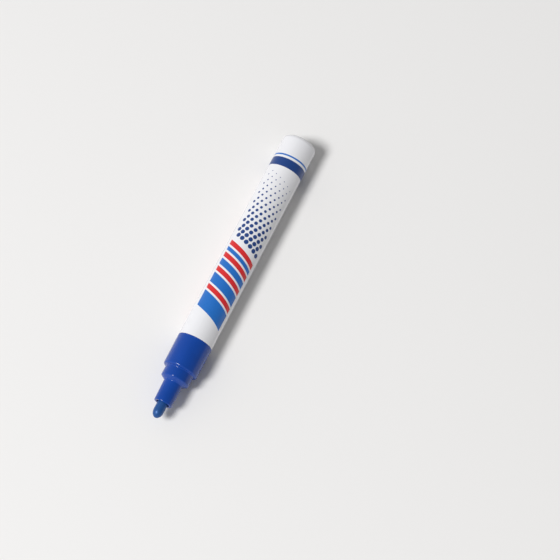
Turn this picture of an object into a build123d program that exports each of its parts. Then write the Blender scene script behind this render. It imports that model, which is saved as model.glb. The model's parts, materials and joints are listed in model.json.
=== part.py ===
"""Paint marker, uncapped, lying on its side: enamelled barrel, stepped collar, fibre nib and the valve inside.

Millimetres. The pen's axis runs along X, nib towards -X, and the barrel rests on Z = 0. The origin is on that
surface, halfway along the pen. Every round piece is drawn as a half outline in (station, radius), where the
station is the distance from the nib's tip along the axis.
"""

import math
import os

from build123d import *

# Barrel: a drawn aluminium can with a closed, rounded rear end
barrel_dia = 15.0
barrel_len = 99.1
barrel_wall = 0.45
barrel_end_wall = 0.6
barrel_corner_r = 2.0
mouth_chamfer = 0.12

# Nib: a rod of pressed fibre with a bullet nose
nib_dia = 4.4
nib_reach = 6.5  # what stands out of the collar's tube
nib_nose_len = 2.9
nib_nose_tip_share = 0.72  # radius of the very tip, of the rod's radius
nib_end_chamfer = 0.4
nib_clearance = 0.05  # round the nib, inside the guide ribs

# Collar outside: tube, cone, middle section, big section flush with the barrel
tube_len = 9.3
tube_wall = 1.02  # at the rim
tube_draft = 0.22  # what the radius gains from the rim to the cone
rim_round = 0.3
cone_len = 1.4
middle_step = 1.33  # from the big section's front edge down to the middle section
middle_len = 4.4
middle_round = 0.5
big_len = 13.8
big_draft = 0.12  # what the radius loses from the barrel to the front edge
big_round = 0.8
root_round = 0.45  # in the hollow corners before the cone and the big section

# Collar inside: paint gap round the nib, guide ribs, nib chamber, valve bore in the spigot
paint_gap = 0.6
rib_count = 6
rib_width = 0.7
rib_setback = 2.6  # from the rim to the ribs
rib_root = 0.3  # how deep a rib runs into the tube's wall
collar_wall = 1.35
chamber_draft = 0.4
spigot_len = 10.0
spigot_wall = 1.2
spigot_lead_in = 0.5
barb_count = 3
barb_height = 0.25
barb_land = 0.35
barb_ramp = 1.0
barb_pitch = 2.8
barb_setback = 1.2  # from the barrel's mouth to the first barb
snap_height = 0.15
snap_len = 0.7
press_gap = 0.02  # between pieces that are pressed together

# Valve seat: a soft plastic ring against the shoulder inside the collar
seat_depth = 5.9  # from the barrel's mouth forward to the shoulder
seat_thick = 1.6
seat_hole_dia = 3.6
seat_land_width = 0.7
seat_land_height = 0.3

# Valve stem: pad, cross-shaped shaft, sealing flange, spring boss and tail
press_travel = 2.0  # how far the nib and the stem move in
stem_reach = 5.5  # from the seat forward to the nib's end
stem_clearance = 0.1
pad_len = 0.8
fin_thick = 0.9
flange_margin = 0.35
flange_len = 1.0
boss_len = 0.8
boss_gap = 0.3
tail_dia = 1.8
tail_overhang = 0.5
tail_clearance = 0.05
tail_chamfer = 0.3

# Valve spring: a compression coil with closer turns at its ends
spring_len = 10.0
wire_dia = 0.45
coil_inset = 0.3  # from the flange's edge to the coil
end_turns = 1
active_turns = 5
end_turn_gap = 0.45
spring_seat_gap = 0.03
quarters_per_turn = 4
gap_samples_per_turn = 24

# Valve cage: a basket with paint windows behind the seat
cage_wall = 0.8
cage_gap = 0.4  # round the stem's flange
cage_rim_len = 2.4
cage_end_wall = 1.2
window_count = 4
window_width = 2.4
window_margin = 0.8

# Mixing ball: loose in the paint chamber
ball_dia = 7.0
ball_lift = 0.1
ball_front_gap = 0.4

cut_overrun = 0.5

# Radii that follow
barrel_r = barrel_dia / 2
bore_r = barrel_r - barrel_wall
nib_r = nib_dia / 2
tube_bore_r = nib_r + paint_gap
tube_front_r = tube_bore_r + tube_wall
tube_back_r = tube_front_r + tube_draft
big_front_r = barrel_r - big_draft
middle_r = big_front_r - middle_step
chamber_front_r = middle_r - collar_wall
chamber_back_r = chamber_front_r + chamber_draft
barb_r = bore_r - press_gap
spigot_r = barb_r - barb_height
valve_bore_r = spigot_r - spigot_wall
pressed_r = valve_bore_r - press_gap
seat_hole_r = seat_hole_dia / 2
shaft_r = seat_hole_r - stem_clearance
land_r = seat_hole_r + seat_land_width
flange_r = land_r + flange_margin
wire_r = wire_dia / 2
coil_r = flange_r - coil_inset - wire_r
boss_r = coil_r - wire_r - boss_gap
tail_r = tail_dia / 2
guide_r = tail_r + tail_clearance
cage_bore_r = flange_r + cage_gap
cage_r = cage_bore_r + cage_wall
ball_r = ball_dia / 2

# Stations that follow, from the nib's tip
tube_front = nib_reach
tube_back = tube_front + tube_len
middle_front = tube_back + cone_len
big_front = middle_front + middle_len
mouth = big_front + big_len
rear = mouth + barrel_len
spigot_back = mouth + spigot_len
seat_front = mouth - seat_depth
seat_back = seat_front + seat_thick
nib_back = seat_front - stem_reach
flange_front = seat_back + seat_land_height
flange_back = flange_front + flange_len
cage_rim_back = seat_back + cage_rim_len
cage_wall_front = flange_back + spring_len
cage_back = cage_wall_front + cage_end_wall
tail_back = cage_back + tail_overhang
ball_front = max(spigot_back, tail_back + press_travel) + ball_front_gap
ball_station = ball_front + ball_r

# The drawing plane: X is the station, Y the radius
tip_x = -rear / 2
axis_z = barrel_r
pen_axis = Axis((0, 0, axis_z), (1, 0, 0))
half_plane = Plane(origin=(tip_x, 0, axis_z), x_dir=(1, 0, 0), z_dir=(0, -1, 0))


def cross_plane(station):
    """The plane square to the pen's axis at a station, facing the rear."""
    return Plane(origin=(tip_x + station, 0, axis_z), x_dir=(0, 1, 0), z_dir=(1, 0, 0))


def corner(sketch, point):
    """The corner of a drawn outline that lies at a point."""
    return sketch.vertices().sort_by_distance(point)[0]


# Barrel
with BuildPart() as barrel:
    with BuildSketch(half_plane) as can_outline:
        with BuildLine():
            Polyline(
                (mouth, bore_r),
                (mouth, barrel_r),
                (rear, barrel_r),
                (rear, 0),
                (rear - barrel_end_wall, 0),
                (rear - barrel_end_wall, bore_r),
                close=True,
            )
        make_face()
        fillet(corner(can_outline, (rear, barrel_r)), barrel_corner_r)
        fillet(corner(can_outline, (rear - barrel_end_wall, bore_r)), barrel_corner_r - barrel_wall)
        chamfer(corner(can_outline, (mouth, barrel_r)), mouth_chamfer)
    revolve(axis=pen_axis)

# Nib: the nose is a small tip arc that runs into a long ogive arc, tangent to the rod
nose_tip_r = nib_nose_tip_share * nib_r
nose_run = nib_nose_len - nose_tip_r
ogive_r = (nose_run**2 + nib_r**2 - nose_tip_r**2) / (2 * (nib_r - nose_tip_r))
ogive_angle = math.degrees(math.atan2(ogive_r - nib_r, nose_run))
with BuildPart() as nib:
    with BuildSketch(half_plane) as rod_outline:
        with BuildLine():
            tip_arc = CenterArc((nose_tip_r, 0), nose_tip_r, 180, -ogive_angle)
            ogive = TangentArc(tip_arc @ 1, (nib_nose_len, nib_r), tangent=tip_arc % 1)
            Polyline(ogive @ 1, (nib_back, nib_r), (nib_back, 0), (0, 0))
        make_face()
        chamfer(corner(rod_outline, (nib_back, nib_r)), nib_end_chamfer)
    revolve(axis=pen_axis)

# Collar: one moulding, its bore widening towards the rear so that the core pulls out that way
with BuildPart() as collar:
    with BuildSketch(half_plane) as collar_outline:
        with BuildLine():
            Polyline(
                (tube_front, tube_bore_r),
                (tube_front, tube_front_r),
                (tube_back, tube_back_r),
                (middle_front, middle_r),
                (big_front, middle_r),
                (big_front, big_front_r),
                (mouth, barrel_r),
                (mouth, spigot_r),
                (spigot_back - spigot_lead_in, spigot_r),
                (spigot_back, spigot_r - spigot_lead_in),
                (spigot_back, valve_bore_r),
                (cage_rim_back + press_gap + snap_len, valve_bore_r),
                (cage_rim_back + press_gap + snap_len / 2, valve_bore_r - snap_height),
                (cage_rim_back + press_gap, valve_bore_r),
                (seat_front, valve_bore_r),
                (seat_front, chamber_back_r),
                (middle_front, chamber_front_r),
                (tube_back, tube_bore_r),
                close=True,
            )
        make_face()
        fillet(corner(collar_outline, (tube_front, tube_front_r)), rim_round)
        fillet(corner(collar_outline, (tube_front, tube_bore_r)), rim_round)
        fillet(corner(collar_outline, (tube_back, tube_back_r)), root_round)
        fillet(corner(collar_outline, (middle_front, middle_r)), middle_round)
        fillet(corner(collar_outline, (big_front, middle_r)), root_round)
        fillet(corner(collar_outline, (big_front, big_front_r)), big_round)
        for barb in range(barb_count):
            barb_front = mouth + barb_setback + barb * barb_pitch
            barb_back = barb_front + barb_land + barb_ramp
            with BuildLine():
                Polyline(
                    (barb_front, spigot_r),
                    (barb_front, barb_r),
                    (barb_front + barb_land, barb_r),
                    (barb_back, spigot_r),
                    close=True,
                )
            make_face()
    revolve(axis=pen_axis)
    # Guide ribs along the tube's bore
    rib_inner_r = nib_r + nib_clearance
    rib_outer_r = tube_bore_r + rib_root
    with BuildSketch(cross_plane(tube_front + rib_setback)):
        with PolarLocations((rib_inner_r + rib_outer_r) / 2, rib_count):
            Rectangle(rib_outer_r - rib_inner_r, rib_width)
    extrude(amount=tube_len - rib_setback)

# Valve seat: the raised land round the hole is what the stem's flange closes on
with BuildPart() as valve_seat:
    with BuildSketch(half_plane):
        with BuildLine():
            Polyline(
                (seat_front, seat_hole_r),
                (seat_front, pressed_r),
                (seat_back, pressed_r),
                (seat_back, land_r),
                (seat_back + seat_land_height, land_r),
                (seat_back + seat_land_height, seat_hole_r),
                close=True,
            )
        make_face()
    revolve(axis=pen_axis)

# Valve stem
with BuildPart() as valve_stem:
    with BuildSketch(half_plane) as flange_outline:
        with BuildLine():
            Polyline(
                (flange_front, 0),
                (flange_front, flange_r),
                (flange_back, flange_r),
                (flange_back, boss_r),
                (flange_back + boss_len, boss_r),
                (flange_back + boss_len, tail_r),
                (tail_back, tail_r),
                (tail_back, 0),
                close=True,
            )
        make_face()
        chamfer(corner(flange_outline, (tail_back, tail_r)), tail_chamfer)
    revolve(axis=pen_axis)
    # Cross-shaped shaft, open between its fins so that paint can pass
    with BuildSketch(cross_plane(nib_back)) as shaft_outline:
        Circle(shaft_r)
        with BuildSketch(mode=Mode.INTERSECT):
            Rectangle(2 * shaft_r, fin_thick)
            Rectangle(fin_thick, 2 * shaft_r)
    extrude(amount=flange_front - nib_back)
    # Round pad that the nib's end rests on
    with BuildSketch(cross_plane(nib_back)):
        Circle(shaft_r)
    extrude(amount=pad_len)

# Valve spring: quarter turns, each of two tangent arcs
coil_run = spring_len - wire_dia - 2 * spring_seat_gap
end_pitch = wire_dia + end_turn_gap
active_pitch = (coil_run - 2 * end_turns * end_pitch) / active_turns
coil_turns = 2 * end_turns + active_turns
coil_x = tip_x + flange_back + spring_seat_gap + wire_r


def coil_rise(turn):
    """How far along the axis the wire's centre has come after so many turns."""
    rear_end_turns = max(turn - end_turns - active_turns, 0)
    active = min(max(turn - end_turns, 0), active_turns)
    return (min(turn, end_turns) + rear_end_turns) * end_pitch + active * active_pitch


def coil_point(turn):
    """The wire's centre after so many turns."""
    angle = 2 * math.pi * turn
    return Vector(coil_x + coil_rise(turn), coil_r * math.cos(angle), axis_z + coil_r * math.sin(angle))


def coil_tangent(turn):
    """The wire's direction there, with the pitch taken from the quarter turns on either side."""
    before = max(turn - 1 / quarters_per_turn, 0)
    after = min(turn + 1 / quarters_per_turn, coil_turns)
    climb = (coil_rise(after) - coil_rise(before)) / (2 * math.pi * (after - before))
    angle = 2 * math.pi * turn
    return Vector(climb, -coil_r * math.sin(angle), coil_r * math.cos(angle)).normalized()


def add_quarter_turn(turn):
    """Two arcs, tangent where they meet, from one point of the coil to the next a quarter turn on."""
    start, end = coil_point(turn), coil_point(turn + 1 / quarters_per_turn)
    leaving, arriving = coil_tangent(turn), coil_tangent(turn + 1 / quarters_per_turn)
    chord = end - start
    along = chord.dot(leaving + arriving)
    spread = 2 * (1 - leaving.dot(arriving))
    reach = (math.sqrt(along**2 + spread * chord.dot(chord)) - along) / spread
    middle = (start + end + (leaving - arriving) * reach) / 2
    first = TangentArc(start, middle, tangent=leaving)
    TangentArc(first @ 1, end, tangent=first % 1)


with BuildPart() as valve_spring:
    with BuildLine() as wire_line:
        for quarter in range(coil_turns * quarters_per_turn):
            add_quarter_turn(quarter / quarters_per_turn)
    with BuildSketch(Plane(origin=coil_point(0), z_dir=coil_tangent(0))):
        Circle(wire_r)
    sweep(path=wire_line.wires()[0])

coil_samples = [coil_point(n / gap_samples_per_turn) for n in range(coil_turns * gap_samples_per_turn + 1)]
half_turn = gap_samples_per_turn // 2
coil_gap = min(
    (coil_samples[later] - coil_samples[n]).length - wire_dia
    for n in range(len(coil_samples))
    for later in range(n + half_turn, len(coil_samples))
)
print(f"valve spring: least gap to itself {coil_gap:.2f} mm")

# Valve cage: the rim is pressed in behind the seat, the tail slides in the end wall's guide
with BuildPart() as valve_cage:
    with BuildSketch(half_plane):
        with BuildLine():
            Polyline(
                (seat_back, cage_bore_r),
                (seat_back, pressed_r),
                (cage_rim_back, pressed_r),
                (cage_rim_back, cage_r),
                (cage_back, cage_r),
                (cage_back, guide_r),
                (cage_wall_front - boss_len, guide_r),
                (cage_wall_front - boss_len, boss_r),
                (cage_wall_front, boss_r),
                (cage_wall_front, cage_bore_r),
                close=True,
            )
        make_face()
    revolve(axis=pen_axis)
    window_front = cage_rim_back + window_margin
    window_len = cage_wall_front - window_margin - window_front
    with BuildSketch(cross_plane(window_front)):
        with PolarLocations((cage_bore_r + cage_r) / 2, window_count):
            Rectangle(cage_wall + 2 * cut_overrun, window_width)
    extrude(amount=window_len, mode=Mode.SUBTRACT)

# Mixing ball, on the floor of the paint chamber
with BuildPart() as mixing_ball:
    with Locations((tip_x + ball_station, 0, barrel_wall + ball_lift + ball_r)):
        Sphere(ball_r)

pieces = {
    "barrel": barrel,
    "collar": collar,
    "nib": nib,
    "valve_seat": valve_seat,
    "valve_stem": valve_stem,
    "valve_spring": valve_spring,
    "valve_cage": valve_cage,
    "mixing_ball": mixing_ball,
}
os.makedirs("parts", exist_ok=True)
for name, piece in pieces.items():
    piece.part.label = name
    export_step(piece.part, f"parts/{name}.step")
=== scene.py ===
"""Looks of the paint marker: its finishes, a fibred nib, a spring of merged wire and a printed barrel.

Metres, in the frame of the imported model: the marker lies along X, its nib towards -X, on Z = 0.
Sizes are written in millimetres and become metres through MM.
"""

import json
import math

import bpy
from mathutils import Matrix, Vector


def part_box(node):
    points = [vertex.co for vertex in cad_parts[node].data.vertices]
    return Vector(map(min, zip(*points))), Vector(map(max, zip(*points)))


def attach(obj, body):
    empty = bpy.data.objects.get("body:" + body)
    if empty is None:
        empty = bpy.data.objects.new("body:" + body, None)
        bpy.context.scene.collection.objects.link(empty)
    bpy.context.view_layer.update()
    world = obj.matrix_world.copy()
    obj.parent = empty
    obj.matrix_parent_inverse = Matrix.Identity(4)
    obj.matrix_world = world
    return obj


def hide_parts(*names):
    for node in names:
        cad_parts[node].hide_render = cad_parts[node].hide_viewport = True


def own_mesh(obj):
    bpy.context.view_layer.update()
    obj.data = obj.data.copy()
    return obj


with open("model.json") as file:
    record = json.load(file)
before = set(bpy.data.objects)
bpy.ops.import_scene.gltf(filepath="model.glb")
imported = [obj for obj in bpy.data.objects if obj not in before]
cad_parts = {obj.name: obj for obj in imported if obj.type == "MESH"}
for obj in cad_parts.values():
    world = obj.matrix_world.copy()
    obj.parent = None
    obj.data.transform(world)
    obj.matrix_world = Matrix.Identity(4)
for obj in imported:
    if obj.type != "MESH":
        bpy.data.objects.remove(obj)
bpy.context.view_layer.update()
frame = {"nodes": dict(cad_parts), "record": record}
MM = 0.001

# Places on the marker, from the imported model
mounts = {mount["name"]: mount for mount in frame["record"]["mounts"]}
barrel_r = mounts["barrel_shank"]["dims"]["r_mm"] * MM
axis_z = mounts["barrel_shank"]["pos_m"][2]
mouth_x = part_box("barrel")[0].x
tip_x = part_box("nib")[0].x
nib_back_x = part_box("nib")[1].x
nib_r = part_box("nib")[1].z - axis_z

# Camera: the photograph's view, in a picture 560 pixels wide
picture_px = 560
focal_px = 1897
sensor_mm = 36
view_azimuth = math.radians(-64.14)
view_elevation = math.radians(68.81)
tip_px = (155.1, 417.6)
tip_distance = 758.5 * MM

# Light: a soft key from over the nib's left, in a room that is palest low on that side
key_direction = Vector((-0.43, 0.34, 0.836)).normalized()
key_distance = 2600 * MM
key_size = 840 * MM
key_power = 55.6
room_light = 0.5  # at the horizon
room_slope = (-0.09, 0.15, -0.25)  # what it gains towards +X, +Y and +Z
floor_size = 6000 * MM
floor_drop = 0.03 * MM  # clear of the printed rings, which stand out from the barrel by the ink's film

# Nib: a rod of pressed fibre whose nose is a small tip arc that runs into a long ogive
nose_len = 2.9 * MM
nose_tip_share = 0.72
nib_chamfer = 0.4 * MM
nib_sides = 432
nose_rings = 28
rod_rings = 64
fibre_width = 0.16 * MM  # real strands are about 0.02 mm wide: drawn coarser, so that they show
fibre_len = 3.2 * MM
fibre_relief = 0.03 * MM

# Print: places along the barrel from its mouth, and round it from the line that faces the camera
facing_y = -math.cos(view_azimuth) * math.cos(view_elevation)
facing_angle = math.atan2(facing_y, math.sin(view_elevation))  # from the barrel's top to that line
ink_film = 0.02 * MM
roll_step = 0.3 * MM  # between the cuts that let a print bend round the barrel
bar_start = 7.5 * MM
bar_count = 4
bar_width = 7.4 * MM
bar_shrink_share = 0.62
bar_length = 15 * MM
bar_lean = 6 * MM
accent_width = 2.2 * MM
accent_gap = 0.9 * MM
fade_start = 45.7 * MM
fade_columns = 15
fade_rows = 6
fade_pitch = 2.3 * MM
fade_dot = 2 * MM
fade_end_share = 0.2
dot_sides = 24
stripe_start = 9 * MM
stripe_around = 16 * MM
stripe_lengths = [length * MM for length in (72, 54, 36)]
stripe_width = 0.5 * MM
stripe_pitch = 1.6 * MM
ring_sides = 240
wide_ring_at = 85.2 * MM
wide_ring_width = 4 * MM
fine_ring_at = 88.6 * MM
fine_ring_width = 0.7 * MM

# Finishes: how large the features of each pattern are, and how deep its relief is
enamel_peel = 1.1 * MM
enamel_patch = 7 * MM
enamel_relief = 0.02 * MM
cut_edge_depth = 0.06 * MM  # at the mouth, where the wall is cut and the metal shows
cut_edge_x = mouth_x + cut_edge_depth
ink_grain = 0.3 * MM  # a screen's threads lie about 0.1 mm apart: drawn coarser, so that they show
ink_relief = 0.01 * MM
mould_patch = 6 * MM
mould_ring_pitch = 0.35 * MM  # a turned mould's marks are about 0.1 mm apart: drawn coarser too
mould_relief = 0.003 * MM
wave_radians = 20  # what a wave texture runs through in a length of one over its scale
strand_width = 0.14 * MM  # drawn coarser, as the strands in relief are
strand_stretch_share = 0.05  # how slowly the pattern runs along a strand
strand_relief = 0.02 * MM
flow_patch = 2.5 * MM
flow_relief = 0.02 * MM
milky_depth = 0.4 * MM
wire_mark = 0.2 * MM
ball_mark = 1.2 * MM
steel_relief = 0.005 * MM
paper_tooth = 1.4 * MM  # real tooth is about 0.2 mm: drawn coarser
paper_relief = 0.1 * MM
noise_span = {"From Min": 0.3, "From Max": 0.7}  # where most of a noise pattern's values lie

# Meshes
merge_distance = 0.001 * MM  # points nearer than this are one
smooth_angle = math.radians(35)  # faces that meet at less look like one round face


def linear(hex_colour):
    """An sRGB colour, written as hex, in the linear values that shaders take."""
    shares = [int(hex_colour[n:n + 2], 16) / 255 for n in (1, 3, 5)]
    return [s / 12.92 if s <= 0.04045 else ((s + 0.055) / 1.055) ** 2.4 for s in shares] + [1]


def cells(size):
    """The texture scale at which a pattern's features are about so large."""
    return 1 / size


def set_inputs(node, inputs):
    """Sets each of a node's inputs to a value, or links it to another node's output."""
    for name, value in inputs.items():
        if isinstance(value, bpy.types.NodeSocket):
            node.id_data.links.new(value, node.inputs[name])
        else:
            node.inputs[name].default_value = value


def add_node(tree, kind, inputs, out=0, **settings):
    """Adds a node with its settings and inputs, and gives back one of its outputs.

    Inputs and outputs go by name or number: a Mix node's colours are inputs 6 and 7 and output 2.
    """
    node = tree.nodes.new("ShaderNode" + kind)
    for name, value in settings.items():
        setattr(node, name, value)
    set_inputs(node, inputs)
    return node.outputs[out]


def new_material(name):
    """A new material, its tree, its surface, and the place on the object that its patterns read."""
    material = bpy.data.materials.new(name)
    material.use_nodes = True
    tree = material.node_tree
    return material, tree, tree.nodes["Principled BSDF"], add_node(tree, "TexCoord", {}, "Object")


def enamelled_aluminium():
    """White stove enamel, inside and out: a clear, wavy gloss, with bare metal at the can's cut mouth."""
    material, tree, surface, place = new_material("enamelled aluminium")
    patches = add_node(tree, "TexNoise", {"Vector": place, "Scale": cells(enamel_patch), "Detail": 4})
    gloss = add_node(tree, "MapRange", {"Value": patches, **noise_span, "To Min": 0.1, "To Max": 0.2})
    peel = add_node(tree, "TexNoise", {"Vector": place, "Scale": cells(enamel_peel), "Detail": 1})
    relief = add_node(tree, "Bump", {"Height": peel, "Strength": 0.2, "Distance": enamel_relief})
    whites = {0: patches, 6: linear("#e5e5e9"), 7: linear("#e9e9ec")}
    enamel = add_node(tree, "Mix", whites, 2, data_type="RGBA")
    along = add_node(tree, "SeparateXYZ", {0: place}, "X")
    bare = add_node(tree, "Math", {0: along, 1: cut_edge_x}, operation="LESS_THAN")
    coat = add_node(tree, "Mix", {0: bare, 6: enamel, 7: linear("#c9cacc")}, 2, data_type="RGBA")
    set_inputs(surface, {"Base Color": coat, "Metallic": bare, "Roughness": gloss, "Normal": relief})
    return material


def screen_ink(name, hex_colour):
    """Screen-printed enamel ink: an opaque film, duller than the enamel, with a trace of the mesh."""
    material, tree, surface, place = new_material(name)
    grain = add_node(tree, "TexNoise", {"Vector": place, "Scale": cells(ink_grain), "Detail": 1})
    cover = add_node(tree, "MapRange", {"Value": grain, **noise_span, "To Min": 0.94, "To Max": 1.04})
    shade = add_node(tree, "HueSaturation", {"Color": linear(hex_colour), "Value": cover})
    relief = add_node(tree, "Bump", {"Height": grain, "Strength": 0.25, "Distance": ink_relief})
    set_inputs(surface, {"Base Color": shade, "Roughness": 0.3, "Normal": relief})
    return material


def blue_polypropylene():
    """Polypropylene from a turned mould: a deep, slightly cloudy blue, an even gloss over fine rings."""
    material, tree, surface, place = new_material("moulded blue polypropylene")
    clouds = add_node(tree, "TexNoise", {"Vector": place, "Scale": cells(mould_patch), "Detail": 3})
    blues = {0: clouds, 6: linear("#093d91"), 7: linear("#0d45a1")}
    blue = add_node(tree, "Mix", blues, 2, data_type="RGBA")
    gloss = add_node(tree, "MapRange", {"Value": clouds, **noise_span, "To Min": 0.14, "To Max": 0.2})
    ring_scale = 2 * math.pi / wave_radians * cells(mould_ring_pitch)
    turned = {"Vector": place, "Scale": ring_scale, "Distortion": 0.6, "Detail": 1}
    rings = add_node(tree, "TexWave", turned, "Fac")
    relief = add_node(tree, "Bump", {"Height": rings, "Strength": 0.1, "Distance": mould_relief})
    finish = {"Base Color": blue, "Roughness": gloss, "Specular IOR Level": 0.4, "Normal": relief}
    set_inputs(surface, finish)
    return material


def acrylic_fibre():
    """Pressed acrylic fibre soaked with paint: fine strands along the rod, damp, with a blue shine."""
    material, tree, surface, place = new_material("pressed acrylic fibre")
    drawn_out = add_node(tree, "Mapping", {"Vector": place, "Scale": (strand_stretch_share, 1, 1)})
    grain = add_node(tree, "TexNoise", {"Vector": drawn_out, "Scale": cells(strand_width), "Detail": 3})
    blues = {0: grain, 6: linear("#133b6d"), 7: linear("#245498")}
    blue = add_node(tree, "Mix", blues, 2, data_type="RGBA")
    relief = add_node(tree, "Bump", {"Height": grain, "Strength": 0.5, "Distance": strand_relief})
    set_inputs(surface, {"Base Color": blue, "Roughness": 0.4, "Normal": relief})
    set_inputs(surface, {"Specular IOR Level": 1, "Specular Tint": linear("#9bc0ff")})
    return material


def natural_plastic(name, hex_dark, hex_light, roughness):
    """Unpigmented moulded plastic: milky, with a soft shine and faint flow clouds."""
    material, tree, surface, place = new_material(name)
    flow = add_node(tree, "TexNoise", {"Vector": place, "Scale": cells(flow_patch), "Detail": 3})
    milks = {0: flow, 6: linear(hex_dark), 7: linear(hex_light)}
    milk = add_node(tree, "Mix", milks, 2, data_type="RGBA")
    relief = add_node(tree, "Bump", {"Height": flow, "Strength": 0.15, "Distance": flow_relief})
    set_inputs(surface, {"Base Color": milk, "Roughness": roughness, "Normal": relief})
    set_inputs(surface, {"Subsurface Weight": 0.2, "Subsurface Scale": milky_depth})
    return material


def bare_steel(name, hex_colour, mark, smooth, worn):
    """Bare steel: a grey mirror, broken up by fine marks between a smooth and a worn roughness."""
    material, tree, surface, place = new_material(name)
    marks = add_node(tree, "TexNoise", {"Vector": place, "Scale": cells(mark), "Detail": 5})
    gloss = add_node(tree, "MapRange", {"Value": marks, **noise_span, "To Min": smooth, "To Max": worn})
    relief = add_node(tree, "Bump", {"Height": marks, "Strength": 0.1, "Distance": steel_relief})
    finish = {"Base Color": linear(hex_colour), "Metallic": 1, "Roughness": gloss, "Normal": relief}
    set_inputs(surface, finish)
    return material


def coated_paper():
    """Matt coated paper on the table: pale, with a barely visible tooth."""
    material, tree, surface, place = new_material("matt coated paper")
    tooth = add_node(tree, "TexNoise", {"Vector": place, "Scale": cells(paper_tooth), "Detail": 4})
    relief = add_node(tree, "Bump", {"Height": tooth, "Strength": 0.1, "Distance": paper_relief})
    set_inputs(surface, {"Base Color": linear("#ecebea"), "Roughness": 0.8, "Normal": relief})
    return material


def select_only(piece):
    """Makes one piece the only thing that is selected."""
    bpy.ops.object.select_all(action="DESELECT")
    piece.select_set(True)
    bpy.context.view_layer.objects.active = piece


def settle(piece):
    """Puts a piece's place, turn and size into its mesh."""
    select_only(piece)
    bpy.ops.object.transform_apply(location=True, rotation=True, scale=True)


def apply_modifiers(piece):
    """Makes the shape that a piece's modifiers give its own."""
    select_only(piece)
    for modifier in list(piece.modifiers):
        bpy.ops.object.modifier_apply(modifier=modifier.name)


def pick(piece, kind, wanted):
    """Opens a piece for editing with only the points, or the edges, selected that pass a test."""
    select_only(piece)
    bpy.ops.object.mode_set(mode="EDIT")
    bpy.ops.mesh.select_mode(type=kind)
    bpy.ops.mesh.select_all(action="DESELECT")
    bpy.ops.object.mode_set(mode="OBJECT")
    points = piece.data.vertices
    if kind == "VERT":
        for point in points:
            point.select = wanted(point.co)
    else:
        for edge in piece.data.edges:
            start, end = edge.vertices
            edge.select = wanted(points[start].co, points[end].co)
    bpy.ops.object.mode_set(mode="EDIT")


def join(pieces, name):
    """Makes several meshes one piece."""
    select_only(pieces[0])
    for piece in pieces:
        piece.select_set(True)
    bpy.ops.object.join()
    pieces[0].name = name
    return pieces[0]


def dress(piece, body, material):
    """Gives a finished piece its material and smooth shading, and lets it ride on its body."""
    select_only(piece)
    bpy.ops.object.shade_smooth_by_angle(angle=smooth_angle)
    piece.data.materials.clear()
    piece.data.materials.append(material)
    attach(piece, body)


def flat_bar(along, around, width, length, lean):
    """A flat bar: width along the barrel, length round it, its far end moved along by a lean."""
    bpy.ops.object.select_all(action="DESELECT")
    bpy.ops.mesh.primitive_plane_add(size=1, location=(mouth_x + along, around, 0))
    bar = bpy.context.object
    bar.scale = (width, length, 1)
    settle(bar)
    pick(bar, "VERT", lambda place: place.y > around)
    bpy.ops.transform.translate(value=(lean, 0, 0))
    bpy.ops.object.mode_set(mode="OBJECT")
    pick(bar, "EDGE", lambda start, end: abs(end.y - start.y) > length / 2)
    bpy.ops.mesh.subdivide(number_cuts=math.ceil(length / roll_step))
    bpy.ops.object.mode_set(mode="OBJECT")
    return bar


def flat_dot():
    """A flat round dot, one metre across, to be copied."""
    bpy.ops.object.select_all(action="DESELECT")
    bpy.ops.mesh.primitive_circle_add(vertices=dot_sides, radius=1 / 2)
    dot = bpy.context.object
    bpy.ops.object.mode_set(mode="EDIT")
    bpy.ops.mesh.select_all(action="SELECT")
    bpy.ops.mesh.fill_grid()
    bpy.ops.mesh.normals_make_consistent(inside=False)
    bpy.ops.object.mode_set(mode="OBJECT")
    return dot


def copy_flat(motif, along, around, size):
    """A copy of a flat motif at a place and size on the barrel's unrolled face."""
    select_only(motif)
    bpy.ops.object.duplicate()
    copy = bpy.context.object
    copy.location = (mouth_x + along, around, 0)
    copy.scale = (size, size, 1)
    settle(copy)
    return copy


def add_film(piece):
    """Gives a bare surface the thickness of a film of ink, outwards."""
    film = piece.modifiers.new("film", "SOLIDIFY")
    film.thickness = ink_film
    film.offset = 1


def roll_on(name, motifs, material):
    """Joins flat motifs into one film of ink and rolls it onto the barrel."""
    print_film = join(motifs, name)
    print_film.rotation_euler.x = math.pi / 2
    settle(print_film)
    add_film(print_film)
    rolled = print_film.modifiers.new("rolled", "SIMPLE_DEFORM")
    rolled.deform_method = "BEND"
    rolled.deform_axis = "X"
    rolled.angle = print_film.dimensions.z / barrel_r
    apply_modifiers(print_film)
    # The bend's own axis becomes the barrel's, and the print's middle line turns to the camera
    print_film.location.y = -barrel_r
    settle(print_film)
    print_film.rotation_euler.x = -math.pi / 2 - facing_angle
    print_film.location.z = axis_z
    settle(print_film)
    dress(print_film, "marker_body", material)


def print_ring(name, along, width, material):
    """A printed ring all the way round the barrel."""
    bpy.ops.object.select_all(action="DESELECT")
    bpy.ops.mesh.primitive_cylinder_add(
        vertices=ring_sides,
        radius=barrel_r,
        depth=width,
        end_fill_type="NOTHING",
        location=(mouth_x + along, 0, axis_z),
        rotation=(0, math.pi / 2, 0),
    )
    ring = bpy.context.object
    ring.name = name
    settle(ring)
    add_film(ring)
    apply_modifiers(ring)
    dress(ring, "marker_body", material)


def print_bars(blue, red):
    """Leaning bars that grow narrower along the barrel, each with a red bar behind it."""
    bars = []
    accents = []
    along = bar_start
    for count in range(bar_count):
        width = bar_width * bar_shrink_share**count
        bars.append(flat_bar(along + width / 2, 0, width, bar_length, bar_lean))
        along += width + accent_gap
        accents.append(flat_bar(along + accent_width / 2, 0, accent_width, bar_length, bar_lean))
        along += accent_width + accent_gap
    roll_on("print_bars", bars, blue)
    roll_on("print_accents", accents, red)


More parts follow.
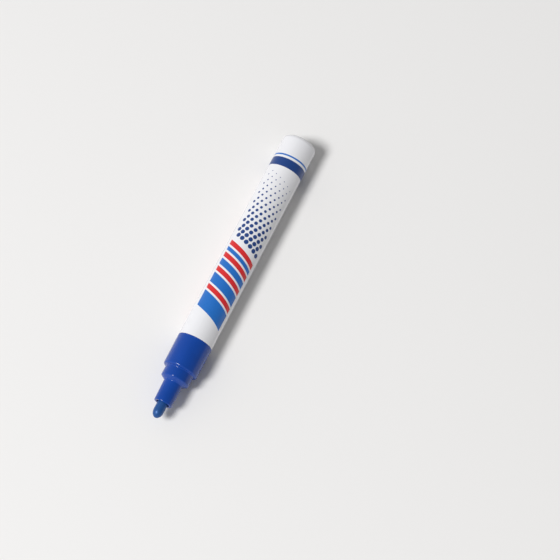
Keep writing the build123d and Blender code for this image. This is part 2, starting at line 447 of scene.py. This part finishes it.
def print_fade(navy):
    """Staggered dots that shrink along the barrel, in rows that lean as the bars do."""
    dot = flat_dot()
    dots = []
    for column in range(fade_columns):
        size = fade_dot * (1 + (fade_end_share - 1) * column / (fade_columns - 1))
        middle_row = (fade_rows - 1 / 2 - column % 2) / 2  # every other column sits half a pitch over
        for row in range(fade_rows):
            around = (row - middle_row) * fade_pitch
            along = fade_start + column * fade_pitch + around * bar_lean / bar_length
            dots.append(copy_flat(dot, along, around, size))
    bpy.data.objects.remove(dot)
    roll_on("print_fade", dots, navy)


def print_stripes(red):
    """Fine stripes of three lengths along the barrel, round the side from the bars."""
    stripes = []
    for count, length in enumerate(stripe_lengths):
        around = stripe_around + count * stripe_pitch
        stripes.append(flat_bar(stripe_start + length / 2, around, length, stripe_width, 0))
    roll_on("print_stripes", stripes, red)


def print_barrel():
    """A plain geometric print: leaning bars, a fade of dots, fine stripes and two rings."""
    blue = screen_ink("bright blue screen ink", "#1f6cc0")
    red = screen_ink("red screen ink", "#d4282c")
    navy = screen_ink("navy screen ink", "#1a3f80")
    print_bars(blue, red)
    print_fade(navy)
    print_stripes(red)
    print_ring("print_wide_ring", wide_ring_at, wide_ring_width, navy)
    print_ring("print_fine_ring", fine_ring_at, fine_ring_width, blue)


def nose_radius(reach):
    """The nib's radius so far behind its tip."""
    tip_r = nose_tip_share * nib_r
    run = nose_len - tip_r
    ogive_r = (run**2 + nib_r**2 - tip_r**2) / (2 * (nib_r - tip_r))
    joint = tip_r * (1 - run / math.hypot(run, ogive_r - nib_r))
    if reach < joint:
        return math.sqrt(tip_r**2 - (tip_r - reach) ** 2)
    return nib_r - ogive_r + math.sqrt(ogive_r**2 - (nose_len - reach) ** 2)


def nib_rings():
    """Each ring's place along the nib and its radius, from the chamfered end to just short of the tip."""
    rod_back_x = nib_back_x - nib_chamfer
    rod_step = (tip_x + nose_len - rod_back_x) / rod_rings
    reaches = [nose_len * (n / nose_rings) ** 2 for n in range(nose_rings - 1, 0, -1)]
    rings = [(nib_back_x, nib_r - nib_chamfer)]
    rings += [(rod_back_x + rod_step * n, nib_r) for n in range(rod_rings + 1)]
    rings += [(tip_x + reach, nose_radius(reach)) for reach in reaches]
    return rings


def draw_rod(rings):
    """A closed rod, extruded from ring to ring and on to the nib's tip."""
    back_x, back_r = rings[0]
    bpy.ops.object.select_all(action="DESELECT")
    bpy.ops.mesh.primitive_circle_add(
        vertices=nib_sides, radius=back_r, location=(back_x, 0, axis_z), rotation=(0, math.pi / 2, 0)
    )
    rod = bpy.context.object
    settle(rod)
    pick(rod, "VERT", lambda place: True)
    for (last_x, last_r), (x, r) in zip(rings, rings[1:]):
        bpy.ops.mesh.extrude_region_move(TRANSFORM_OT_translate={"value": (x - last_x, 0, 0)})
        bpy.ops.transform.resize(value=(1, r / last_r, r / last_r), center_override=(x, 0, axis_z))
    bpy.ops.mesh.extrude_region_move(TRANSFORM_OT_translate={"value": (tip_x - x, 0, 0)})
    bpy.ops.mesh.merge(type="CENTER")
    bpy.ops.object.mode_set(mode="OBJECT")
    pick(rod, "VERT", lambda place: place.x > back_x - nib_chamfer / 2)
    bpy.ops.mesh.edge_face_add()
    bpy.ops.mesh.select_all(action="SELECT")
    bpy.ops.mesh.normals_make_consistent(inside=False)
    bpy.ops.object.mode_set(mode="OBJECT")
    return rod


def model_nib():
    """The nib's rod, with the pressed strands in relief."""
    nib = draw_rod(nib_rings())
    nib.name = "nib_rod"
    press_strands(nib)
    dress(nib, "nib", acrylic_fibre())
    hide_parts("nib")


def press_strands(rod):
    """Sinks long, fine hollows into a rod, in the space of a guide stretched along the strands."""
    guide = bpy.data.objects.new("strand_guide", None)
    guide.scale = (fibre_len, fibre_width, fibre_width)
    bpy.context.scene.collection.objects.link(guide)
    bpy.context.view_layer.update()
    strands = bpy.data.textures.new("strands", "CLOUDS")
    strands.noise_scale = 1
    relief = rod.modifiers.new("strands", "DISPLACE")
    relief.texture = strands
    relief.texture_coords = "OBJECT"
    relief.texture_coords_object = guide
    relief.mid_level = 1
    relief.strength = fibre_relief
    apply_modifiers(rod)
    bpy.data.objects.remove(guide)


def model_spring():
    """The valve spring's wire: the solid's own coil, its triangles merged."""
    wire = bpy.data.objects.new("valve_spring_wire", frame["nodes"]["valve_spring"].data.copy())
    bpy.context.scene.collection.objects.link(wire)
    pick(wire, "VERT", lambda place: True)
    bpy.ops.mesh.remove_doubles(threshold=merge_distance)
    bpy.ops.object.mode_set(mode="OBJECT")
    steel = bare_steel("drawn spring steel", "#b9babc", wire_mark, 0.2, 0.38)
    dress(wire, "marker_body", steel)
    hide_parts("valve_spring")
    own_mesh(wire)


def finish_solids():
    """Procedural finishes for the solids that stay as they are."""
    acetal = natural_plastic("natural acetal", "#dcdad2", "#eeece5", 0.35)
    finishes = {
        "barrel": enamelled_aluminium(),
        "collar": blue_polypropylene(),
        "valve_seat": natural_plastic("soft natural polyethylene", "#cfd2d4", "#e3e6e8", 0.45),
        "valve_stem": acetal,
        "valve_cage": acetal,
        "mixing_ball": bare_steel("polished bearing steel", "#c4c5c7", ball_mark, 0.05, 0.16),
    }
    for node, material in finishes.items():
        frame["nodes"][node].material_slots[0].material = material


def add_camera():
    """The photograph's view: the nib's tip at its own pixel and distance."""
    heading = Vector((-math.sin(view_azimuth), math.cos(view_azimuth), 0))
    forward = heading * math.cos(view_elevation) - Vector((0, 0, math.sin(view_elevation)))
    right = heading.cross(Vector((0, 0, 1)))
    up = right.cross(forward)
    across = (tip_px[0] - picture_px / 2) / focal_px * tip_distance
    down = (tip_px[1] - picture_px / 2) / focal_px * tip_distance
    place = Vector((tip_x, 0, axis_z)) - forward * tip_distance - right * across + up * down
    data = bpy.data.cameras.new("camera")
    data.sensor_width = sensor_mm
    data.lens = focal_px / picture_px * sensor_mm
    camera = bpy.data.objects.new("camera", data)
    turn = Matrix((right, up, -forward)).transposed().to_4x4()
    camera.matrix_world = Matrix.Translation(place) @ turn
    bpy.context.scene.collection.objects.link(camera)
    bpy.context.scene.camera = camera


def add_floor():
    """A pale floor under the marker."""
    bpy.ops.object.select_all(action="DESELECT")
    bpy.ops.mesh.primitive_plane_add(size=floor_size, location=(0, 0, -floor_drop))
    floor = bpy.context.object
    floor.name = "floor"
    settle(floor)
    floor.data.materials.append(coated_paper())


def add_key():
    """A round soft light, aimed at the marker."""
    data = bpy.data.lights.new("key", "AREA")
    data.energy = key_power
    data.shape = "DISK"
    data.size = key_size
    key = bpy.data.objects.new("key", data)
    key.location = Vector((0, 0, axis_z)) + key_direction * key_distance
    key.rotation_euler = key_direction.to_track_quat("Z", "Y").to_euler()
    bpy.context.scene.collection.objects.link(key)


def add_room():
    """A room that is palest low on the left, so that glossy faces that look up stay deep in colour."""
    world = bpy.data.worlds.new("room")
    world.use_nodes = True
    tree = world.node_tree
    direction = add_node(tree, "TexCoord", {}, "Generated")
    gain = add_node(tree, "VectorMath", {0: direction, 1: room_slope}, "Value", operation="DOT_PRODUCT")
    strength = add_node(tree, "Math", {0: gain, 1: room_light}, operation="ADD")
    set_inputs(tree.nodes["Background"], {"Color": linear("#ffffff"), "Strength": strength})
    bpy.context.scene.world = world


finish_solids()
model_nib()
model_spring()
print_barrel()
add_camera()
add_floor()
add_key()
add_room()
bpy.context.scene.view_settings.view_transform = "Standard"
